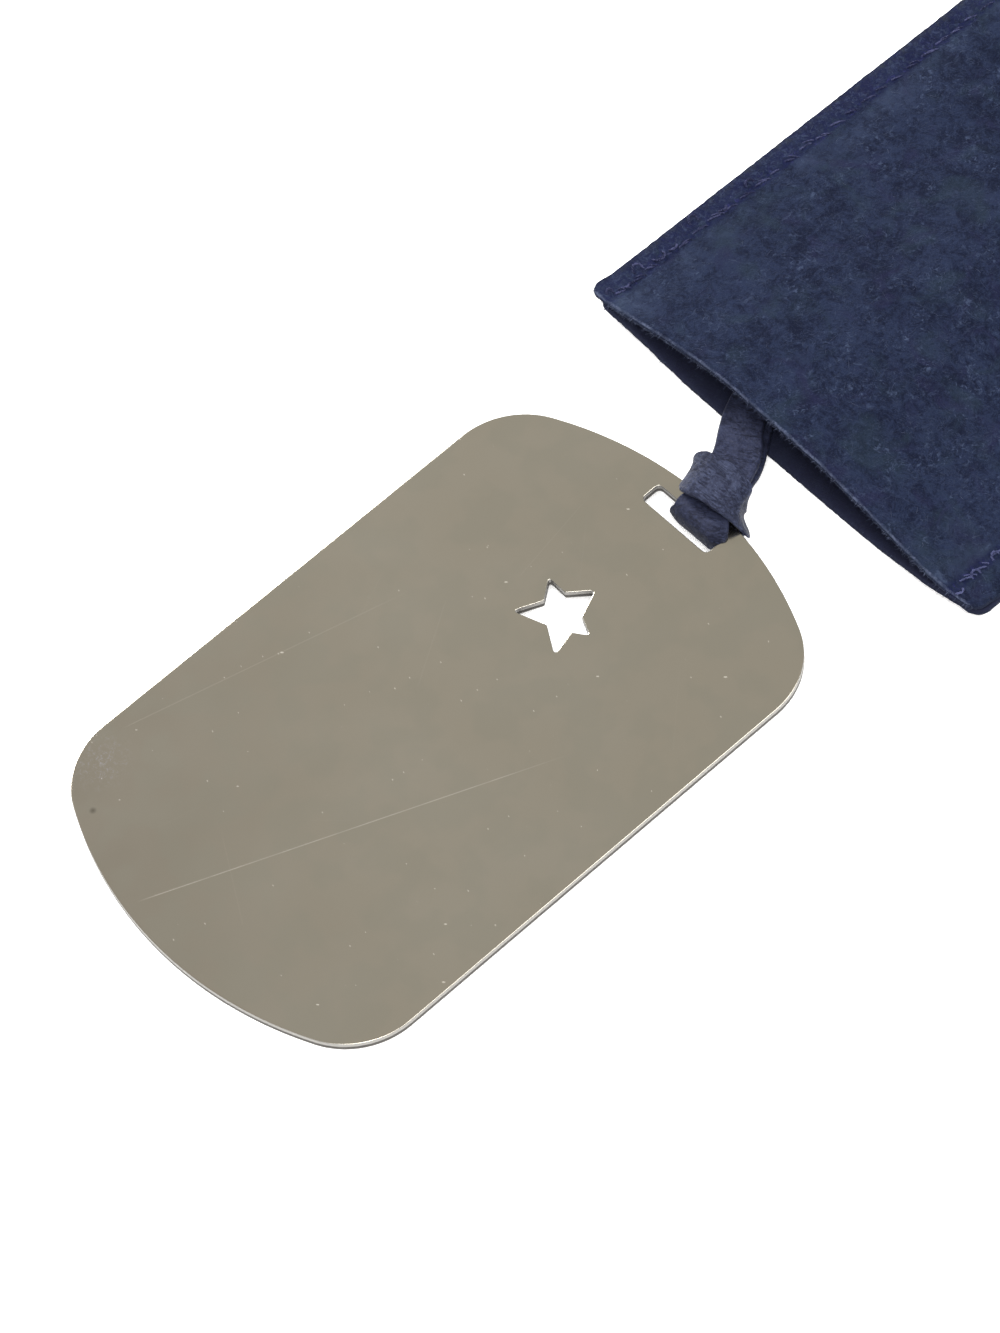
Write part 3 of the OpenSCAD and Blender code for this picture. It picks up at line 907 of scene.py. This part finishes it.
nap = suede.cloud(2.0, 5, warp=0.5, fine=0.95)
clouds = suede.cloud(9, 3, warp=0.8, shift=12)
streaks = None
for turn, shift in ((20, 0), (75, 9), (130, 23)):
    lie = suede.patches(0.58, 0.76, 0.22, 2, stretch=(4.5, 1, 1), turn=turn, shift=shift, warp=1.4)
    streaks = lie if streaks is None else streaks.or_more(lie)
grain = suede.cloud(0.30, 4, fine=0.8)
brushed = suede.patches(0.40, 0.66, 2.4, 3, shift=44)
hairs = streaks * (0.08 + 0.34 * brushed) + suede.rise(grain, 0.54, 0.74) * 0.34
flecks = suede.patches(0.52, 0.70, 0.6, 3, shift=83, warp=0.8, fine=0.7)
flecks = flecks * suede.patches(0.46, 0.66, 3.0, 3, shift=90) * 0.75
smudges = suede.patches(0.60, 0.76, 2.0, 4, shift=97, warp=0.9, fine=0.7) * 0.55
tone = suede.coats(
    deep_navy,
    (mid_navy, suede.rise(nap * 0.8 + clouds * 0.2, 0.40, 0.585)),
    (teal_navy, suede.patches(0.50, 0.72, 6, 3, shift=61, warp=1.0) * 0.5),
    (plum_navy, suede.patches(0.52, 0.75, 5, 3, shift=17, warp=1.0) * 0.6),
    (pale_nap, hairs),
    (deep_navy, suede.fall(grain, 0.30, 0.46) * 0.7),
    (worn_blue, flecks.or_more(smudges)))
print("suede:", len(suede.tree.nodes), "nodes so far")

# %% Wear the suede where it is handled
mottle = suede.patches(0.36, 0.64, 1.9, 4, shift=5, warp=1.2)
wide_mottle = suede.patches(0.42, 0.64, 6, 3, shift=71)
left_band = suede.band(from_left, *(left_seam + off for off in (0.2, 0.9, 1.5, 6.5)))
right_band = suede.band(from_right, *(right_seam + off for off in (0.3, 1.0, 1.2, 4.0)))
corner_rub = suede.fall(from_left, 3.5, 12.0) * suede.fall(from_mouth, 1.0, 9.0)
worn = left_band * (0.02 + 0.3 * wide_mottle) + right_band * 0.2 + corner_rub * 0.45
strip = suede.fall(from_left, left_seam - 0.9, left_seam)
border = suede.fall(from_left, 0.3, 1.3)
near_seam = suede.rise(0 - abs(from_left - left_seam), -1.0, -0.2).or_more(
    suede.rise(0 - abs(from_right - right_seam), -1.1, -0.2))
gaps = suede.patches(0.40, 0.58, 0.9, 4, shift=52, warp=0.8, fine=0.8)
strip_flecks = suede.patches(0.50, 0.64, 0.7, 4, shift=63, warp=0.8, fine=0.8)
flushed = suede.patches(0.54, 0.68, 1.3, 4, shift=37, warp=1.0, fine=0.8)
# The back layer's top face, where shade is painted inside the mouth.
inside = suede.fall(suede.z - belly, 1.35, 1.6) * suede.rise(upward, -0.2, 0.1)
cut_line = suede.fall(from_mouth + (grain - 0.5) * 0.7, 0.06, 0.34)
cut_line = cut_line * suede.rise(upward, 0.25, 0.6) * suede.rise(suede.z, 1.9, 2.4)
suede.feed("Base Color", suede.coats(
    tone,
    (worn_blue, worn * (0.3 + 0.7 * mottle) * 0.75),
    (plum_navy, strip * (0.10 + 0.30 * mottle)),
    (border_grey, border * (0.2 + 0.5 * (1 - mottle))),
    # Painted shade in the grooves along the seams and over the strip beyond the left seam.
    (seam_shade_navy, near_seam.or_more(strip * 0.8) * gaps * 0.8),
    (worn_blue, strip * strip_flecks * 0.40),
    (flush_blue, near_seam.or_more(strip * 0.3) * flushed * 0.6),
    # Painted shade on the back layer's top face, which shows inside the mouth.
    (mouth_shade_navy, inside * 0.75),
    (raw_edge, cut_line * (0.30 + 0.60 * mottle)),
    # Painted shade on every face that turns away from the sky.
    (deep_navy, suede.fall(upward, 0.1, 0.5) * 0.6)))
suede.relief(grain * 0.5 + streaks * 0.3 + nap * 0.8, 0.17)
print("suede:", len(suede.tree.nodes), "nodes")

# %% [markdown]
# ## The sleeve
#
# The sleeve is two equal layers of suede sewn together along both sides and at the far end,
# with a gap in the middle of that end for the strap. Pushed up against the hitch, the front
# layer lifts off the back one, so the mouth opens like an eye. Each layer is a sheet with a top
# face, an under face and a rounded cut edge. Its height comes from a few soft functions: the
# belly that lifts the seams off the table, the gape, and a dip at each stitch.
# %% Shape one layer
gape_rows = np.array([
    [-27.6, 0], [-23, 1.5], [-18.4, 3], [-13.4, 4.4], [-9, 5], [-2, 5], [6.6, 4.6],
    [10.6, 3.7], [14.6, 2.9], [18.1, 2.1], [22.1, 1.4], [24.6, 0.8], [26.6, 0]])
end_rows = np.array([[-9, 0], [-4, 2.4], [4, 2.4], [9, 0]])


def softened(rows, soft):
    """A lookup through rows whose corners are rounded over so many millimetres."""
    spread = np.linspace(-2, 2, 17) * soft
    weight = np.exp(-(spread / soft) ** 2)
    return lambda x: sum(
        w * np.interp(x + s, rows[:, 0], rows[:, 1]) for s, w in zip(spread, weight)) / weight.sum()


mouth_gape, end_gape = softened(gape_rows, 1.2), softened(end_rows, 1.0)
print("gape:", round(float(mouth_gape(0)), 1), "mm at the mouth")


def stitched(x, y):
    """How near a place is to a seam, deeper at each stitch hole, from 0 to 1."""
    pull = 0.55 + 0.45 * np.cos(2 * np.pi * (y - mouth_y - 1.3) / stitch_pitch)
    return pull * sum(hill(x, seam, 0.55) for seam in (left_in, right_in))


def layer_heights(x, v, level):
    """The under face of a layer, from across the sleeve and the share of its length."""
    belly = edge_lift * ease((np.abs(x) - flat_half) / (sleeve_w / 2 - right_seam - flat_half))
    parted = mouth_gape(x) * (1 - v) + end_gape(x) * v
    return belly + level * (suede_t + gap + parted)


def layer_points(level):
    """Grids of bench points for a layer's top face and its under face."""
    inner_w = sleeve_w / 2 - cut_r
    turned_in = (1 - np.cos(np.linspace(0, np.pi / 2, 9)))[:-1]
    straight = np.linspace(left_r - cut_r - inner_w, inner_w - right_r + cut_r, 131)
    x = np.concatenate([(left_r - cut_r) * turned_in - inner_w, straight,
                        inner_w - (right_r - cut_r) * turned_in[::-1]])
    v = np.linspace(0, 1, 190)
    x, v = np.meshgrid(x, v)
    drawn_left, drawn_right = (ease((s * x - sewn_from) / (sewn_to - sewn_from)) for s in (-1, 1))
    recess = level * (front_recess - (sewn_left * drawn_left + sewn_right * drawn_right))
    round_r = np.where(x < 0, left_r, right_r) - cut_r
    past = np.clip(round_r - (inner_w - np.abs(x)), 0, None)
    inset = round_r - np.sqrt(np.maximum(round_r ** 2 - past ** 2, 0))
    bow = mouth_bow * (1 - (2 * x / sleeve_w) ** 2)
    start = mouth_y + mouth_slant * x - bow + recess + inset + cut_r
    start = start + corner_back * ease((x - corner_from) / (corner_to - corner_from))
    end = mouth_y + sleeve_len - inset - cut_r
    y = start + (end - start) * v
    from_cut = y - start
    under = layer_heights(x, v, level) + level * lip_lift * (1 - ease(from_cut / lip_w))
    flat_points = np.c_[x.ravel(), y.ravel(), 0 * x.ravel() + 40 * level]
    waves = (0.16 * lumps(flat_points, 13) + 0.05 * lumps(flat_points, 3.6, 4.0)).reshape(x.shape)
    nap = 0.022 * lumps(flat_points, 0.8, 9.0).reshape(x.shape)
    dip = 0.20 * stitched(x, y)
    if level:
        top = under + suede_t + waves * ease(mouth_gape(x) / 2) + nap - dip
    else:
        top = under + suede_t + nap
        under = under + dip * 0.6
    push = mouth_push[level] * np.exp(-from_cut / 3.2) * (1 - ease(x / inner_w + 1.3))
    x = sleeve_x + x + push
    return np.stack([x, y, top], -1), np.stack([x, y, under], -1)


# %% Close each layer with a cut edge
def sheet_with_edge(top, under):
    """Points and faces of a sheet: two grids joined by a rounded, slightly ragged edge."""
    rows, columns = top.shape[:2]
    grid = np.arange(rows * columns).reshape(rows, columns)
    corners = [(grid[:-1, :-1], grid[:-1, 1:], grid[1:, 1:], grid[1:, :-1])]
    corners.append(tuple(side + grid.size for side in reversed(corners[0])))
    faces = [tuple(f) for c in corners for f in np.stack(c, -1).reshape(-1, 4).tolist()]
    rim = np.concatenate([grid[0, :-1], grid[:-1, -1], grid[-1, :0:-1], grid[:0:-1, 0]])
    above, below = top.reshape(-1, 3)[rim], under.reshape(-1, 3)[rim]
    way = unit(np.roll(above, -1, 0) - np.roll(above, 1, 0))
    out = unit(np.c_[way[:, 1], -way[:, 0], 0 * way[:, 0]])
    points = [top.reshape(-1, 3), under.reshape(-1, 3)]
    rings = [rim]
    total = 2 * grid.size
    for share, reach in ((0.16, 0.68), (0.34, 0.94), (0.5, 1.0), (0.66, 0.94), (0.84, 0.68)):
        ragged = 0.09 * lumps(above, 0.45, share * 3) + 0.05 * lumps(above, 2.5, share)
        ring = above * (1 - share) + below * share + out * (reach * cut_r + ragged)[:, None]
        points.append(ring)
        rings.append(np.arange(total, total + len(rim)))
        total += len(rim)
    rings.append(rim + grid.size)
    for a, b in zip(rings, rings[1:]):
        on_a, on_b = np.roll(a, -1), np.roll(b, -1)
        faces += np.stack([a, b, on_b, on_a], -1).tolist()
    return np.vstack(points), faces


layers = {}
for level, side in enumerate(("back", "front")):
    layers[level] = layer_points(level)
    make_piece("suede_" + side, *sheet_with_edge(*layers[level]), suede, "suede", ["sleeve_" + side])

# %% [markdown]
# ## The stitches
#
# The seams are sewn by hand with a dyed cotton thread of two plies. Each stitch dips into the
# suede at its holes and rises between them, so the twist of its plies shows. Every stitch is
# built as two thin tubes wound round one arc, and a little dice gives each its own slack, since
# no two hand stitches are alike.
# %% Mix the thread
thread = Finish("seam_thread", Roughness=0.85, Specular_IOR_Level=0.15)
thread.feed("Base Color", thread.coats(
    (0.010, 0.012, 0.034),
    ((0.050, 0.055, 0.120), thread.patches(0.38, 0.66, 1.3, 3)),
    ((0.086, 0.098, 0.210), thread.rise(thread.x, 5, 28) * 0.5),
    ((0.012, 0.014, 0.045), thread.patches(0.48, 0.62, 0.35, 3, shift=7, fine=0.8) * 0.8),
    ((0.105, 0.118, 0.235), thread.patches(0.55, 0.8, 0.12, 2))))
thread.relief(thread.cloud(0.08, 2), 0.03)
print("thread:", len(thread.tree.nodes), "nodes")


# %% Tubes along a line
def across_line(points):
    """Two directions square to a line, and to each other, at each of its points."""
    heading = unit(np.gradient(points, axis=0))
    side = unit(np.cross(heading, [0.31, 0.17, 0.94]))
    return side, np.cross(heading, side)


def tube(points, radius, around=6):
    """Rings round a line of points. The radius is one number, or one for each point."""
    points = np.asarray(points, float)
    side, face = across_line(points)
    turns = 2 * np.pi * np.arange(around) / around
    ring = side[:, None] * np.cos(turns)[:, None] + face[:, None] * np.sin(turns)[:, None]
    return points[:, None] + ring * np.reshape(radius, (-1, 1, 1))


def tubes_piece(name, lines, finish, slot, around=6):
    """One piece made of many tubes, each a line of points and its radius."""
    points, faces, total = [], [], 0
    for line, radius in lines:
        rings = tube(line, radius, around)
        points.append(rings.reshape(-1, 3))
        faces += band_faces(*rings.shape[:2], first=total)
        total += rings.shape[0] * around
    make_piece(name, np.vstack(points), faces, finish, slot)


def plies(line, radius, twist):
    """Two plies wound round a line, turning once in so many millimetres."""
    line = smooth_rows(line, 0.15)
    side, face = across_line(line)
    turn = 2 * np.pi * travelled(line)[:, None] / twist
    wound = side * np.cos(turn) - face * np.sin(turn)
    return [(line + way * 0.9 * radius * wound, radius) for way in (1, -1)]


# %% Sew the seams
# A ply's radius in the seams and in the loose loops, and the length of one turn of the twist.
ply_r, loose_r, twist = 0.07, 0.085, 0.8
seam_start, seam_end = mouth_y + 1.5, mouth_y + sleeve_len - 2
# The seam across the far end, which leaves its middle open for the strap.
end_seam, end_open = mouth_y + sleeve_len - 2.6, 10


def height_at(level, x, y, face=0):
    """Height of a layer's face at a bench place, from the nearest point of its grid."""
    grid = layers[level][face]
    i = np.abs(grid[0, :, 0] - x).argmin()
    j = np.abs(grid[:, i, 1] - y).argmin()
    return grid[j, i, 2]


def stitch(a, b, up, slack, radius):
    """Plies of one stitch between two holes, rising by its slack in between."""
    a, b = np.array(a), np.array(b)
    lift = np.array([0, 0, up])
    rise = (0.06 + slack) * lift
    line = np.array([
        a - 0.28 * lift, a + 0.10 * (b - a) + rise * 0.3, a + 0.35 * (b - a) + rise,
        a + 0.65 * (b - a) + rise, a + 0.90 * (b - a) + rise * 0.3, b - 0.28 * lift])
    line[:, 2] = np.maximum(line[:, 2], 2.1 * radius)
    return plies(line, radius, twist)


stitch_dice = random.Random(12)
lines = []
# First the front layer's top face, with its doubled thread, and then the back layer's under face.
for level, face, up in ((1, 0, 1), (0, 1, -1)):
    for seam in (left_in, right_in):
        for y in np.arange(seam_start, seam_end, stitch_pitch):
            x = sleeve_x + seam + stitch_dice.uniform(-0.2, 0.2)
            aslant = stitch_dice.uniform(0.15, 0.70)
            y_end = y + stitch_dice.uniform(1.0, 1.9)
            a = (x - aslant / 2, y, height_at(level, x, y, face))
            b = (x + aslant / 2, y_end, height_at(level, x, y_end, face))
            lines += stitch(a, b, up, stitch_dice.uniform(0, 0.12), ply_r)
            if level and stitch_dice.random() < 0.85:
                a = (a[0] + stitch_dice.uniform(-0.5, 0.1), a[1] + 0.7, a[2])
                b = (b[0] + stitch_dice.uniform(-0.1, 0.5), b[1] + 0.5, b[2])
                lines += stitch(a, b, up, stitch_dice.uniform(0.05, 0.2), 0.7 * ply_r)
    for start, stop in ((left_in + 2, -end_open), (end_open, right_in - 2)):
        for x in sleeve_x + np.arange(start, stop, stitch_pitch):
            x_end = x + stitch_dice.uniform(1.1, 1.6)
            a = (x, end_seam, height_at(level, x, end_seam, face))
            b = (x_end, end_seam + 0.2, height_at(level, x_end, end_seam, face))
            lines += stitch(a, b, up, stitch_dice.uniform(0, 0.10), ply_r)
tubes_piece("seam_stitches", lines, thread, "suede")

# %% [markdown]
# ## Loose thread and fuzz
#
# Hand sewing leaves small loops of thread standing off the seam, and a cut edge of suede sheds
# fibres. They are tiny, but they are what tells the eye that this is suede. Each fibre is a
# thin tapered tube with a bend, rooted just inside the surface and pointed by a seeded dice.
# %% Leave a few loops of thread
loop_rows = [
    # x, y, how far the loop stands out sideways, its length along the seam
    (-27.4, 50.6, -0.5, 0.8), (-27.1, 52.6, 0.4, 1.0), (-27.5, 55.1, -0.9, 1.3),
    (-27.7, 58.0, 1.0, 1.6), (-27.3, 60.0, 0.5, 1.1), (-28.1, 64.2, -0.8, 1.2),
    (-27.3, 67.7, 0.5, 1.0), (-27.5, 72.3, -0.5, 1.2), (28.5, 49.9, 0.5, 0.9),
    (28.3, 52.8, -0.6, 1.2), (28.1, 56.0, -0.6, 1.0)]
lines = []
for x, y, stand_out, length in loop_rows:
    z = height_at(1, x, y) - 0.1
    line = np.array([
        [x, y - length / 2, z], [x + 0.7 * stand_out, y - 0.35 * length, z + 0.42],
        [x + stand_out, y, z + 0.5], [x + 0.6 * stand_out, y + 0.4 * length, z + 0.42],
        [x, y + length / 2, z]])
    lines += plies(line, loose_r, twist)
tubes_piece("loose_loops", lines, thread, "suede")


# %% Raise fuzz on the cut edges and stray fibres on the nap
fuzz = Finish("suede_fibre", Roughness=0.9, Specular_IOR_Level=0.1)
fuzz.feed("Base Color", fuzz.blend(
    (0.024, 0.031, 0.060), (0.085, 0.100, 0.160), fuzz.patches(0.35, 0.7, 1.1, 3)))


def fibre(dice, root, way, length, radius):
    """A short bent fibre from a root, thinning to a point."""
    way = unit(np.array(way) + [dice.uniform(-0.45, 0.45) for _ in range(3)])
    bend = unit([dice.uniform(-1, 1), dice.uniform(-1, 1), dice.uniform(-0.3, 0.5)])
    f = np.linspace(0, 1, 5)[:, None]
    line = np.array(root) + length * (way * f + 0.45 * bend * f ** 2)
    return line, radius * np.array([1, 0.9, 0.75, 0.5, 0.2])


fibre_dice = random.Random(31)
lines = []
for level, count in ((1, 560), (0, 50)):
    top, under = layers[level]
    for _ in range(count):
        i = fibre_dice.randrange(3, top.shape[1] - 3)
        high, low = top[0, i], under[0, i]
        root = high + (low - high) * fibre_dice.uniform(0.05, 0.9) + [
            fibre_dice.uniform(-0.22, 0.22), -0.1, 0]
        root[2] = max(root[2], 0.05)
        line, radius = fibre(fibre_dice, root, (0, -1, 0.15), fibre_dice.uniform(0.2, 0.6), 0.030)
        line[:, 2] = np.maximum(line[:, 2], 0.03)
        lines.append((line, radius))
top = layers[1][0]
over_nap = np.array([-0.03, 0.03, 0.05, 0.06, 0.04])
for _ in range(420):
    i = fibre_dice.randrange(2, top.shape[1] - 2)
    j = fibre_dice.randrange(1, top.shape[0] - 2)
    turn = fibre_dice.uniform(0, 2 * math.pi)
    way = (math.cos(turn), math.sin(turn), 0.05)
    line, radius = fibre(fibre_dice, top[j, i], way, fibre_dice.uniform(0.4, 1.1), 0.018)
    line[:, 2] = np.maximum(line[:, 2], top[j, i][2] + over_nap)
    lines.append((line, radius))
tubes_piece("suede_fibres", lines, fuzz, "suede", around=3)

# %% [markdown]
# ## The table and the light
#
# Such a piece is photographed on a white table under a soft white tent. A large plane and an
# even sky give that. Three broad lamps add the round of the leather and the edges: one on the
# camera's side, which the tag's rounded edges catch as a bright line, a low one past the tag's
# far left, and a weaker one past the sleeve's right. All stay out of the direction that the tag
# mirrors into the camera, so its face shows only the even sky and keeps its calm khaki grey.
# %% Lay the table
table_size = 6.0
half = table_size / 2
mesh = bpy.data.meshes.new("table")
mesh.from_pydata([(-half, -half, 0), (half, -half, 0), (half, half, 0), (-half, half, 0)],
                 [], [(0, 1, 2, 3)])
table = bpy.data.objects.new("table", mesh)
table_finish = Finish("table_white", Roughness=0.9, Specular_IOR_Level=0.0,
                      Emission_Color=(1, 1, 1, 1), Emission_Strength=0.45)
table_finish.feed("Base Color", table_finish.blend(
    (0.90, 0.90, 0.895), (0.93, 0.93, 0.925), table_finish.cloud(60, 2)))
mesh.materials.append(table_finish.material)
bpy.context.collection.objects.link(table)
print("table:", table_size, "metres square")

# %% Hang the lamps
sky_strength = 0.56
world = bpy.data.worlds.new("tent")
world.use_nodes = True
sky = world.node_tree.nodes["Background"].inputs
sky["Color"].default_value = (1.0, 0.965, 0.885, 1)
sky["Strength"].default_value = sky_strength
bpy.context.scene.world = world


def lamp(name, heading, height, distance, size, power):
    """A round lamp, so many metres from the hitch, looking at it."""
    data = bpy.data.lights.new(name, "AREA")
    data.shape, data.size, data.energy = "DISK", size, power
    stand(bpy.data.objects.new(name, data), np.array([0, 20, 0]), distance / MM,
          look_from(heading, height))


lamp("camera_side", -38, 61, 1.3, 0.75, 14)
lamp("far_left", 175, 35, 1.3, 0.6, 18)
lamp("far_right", 40, 55, 1.2, 0.8, 9)
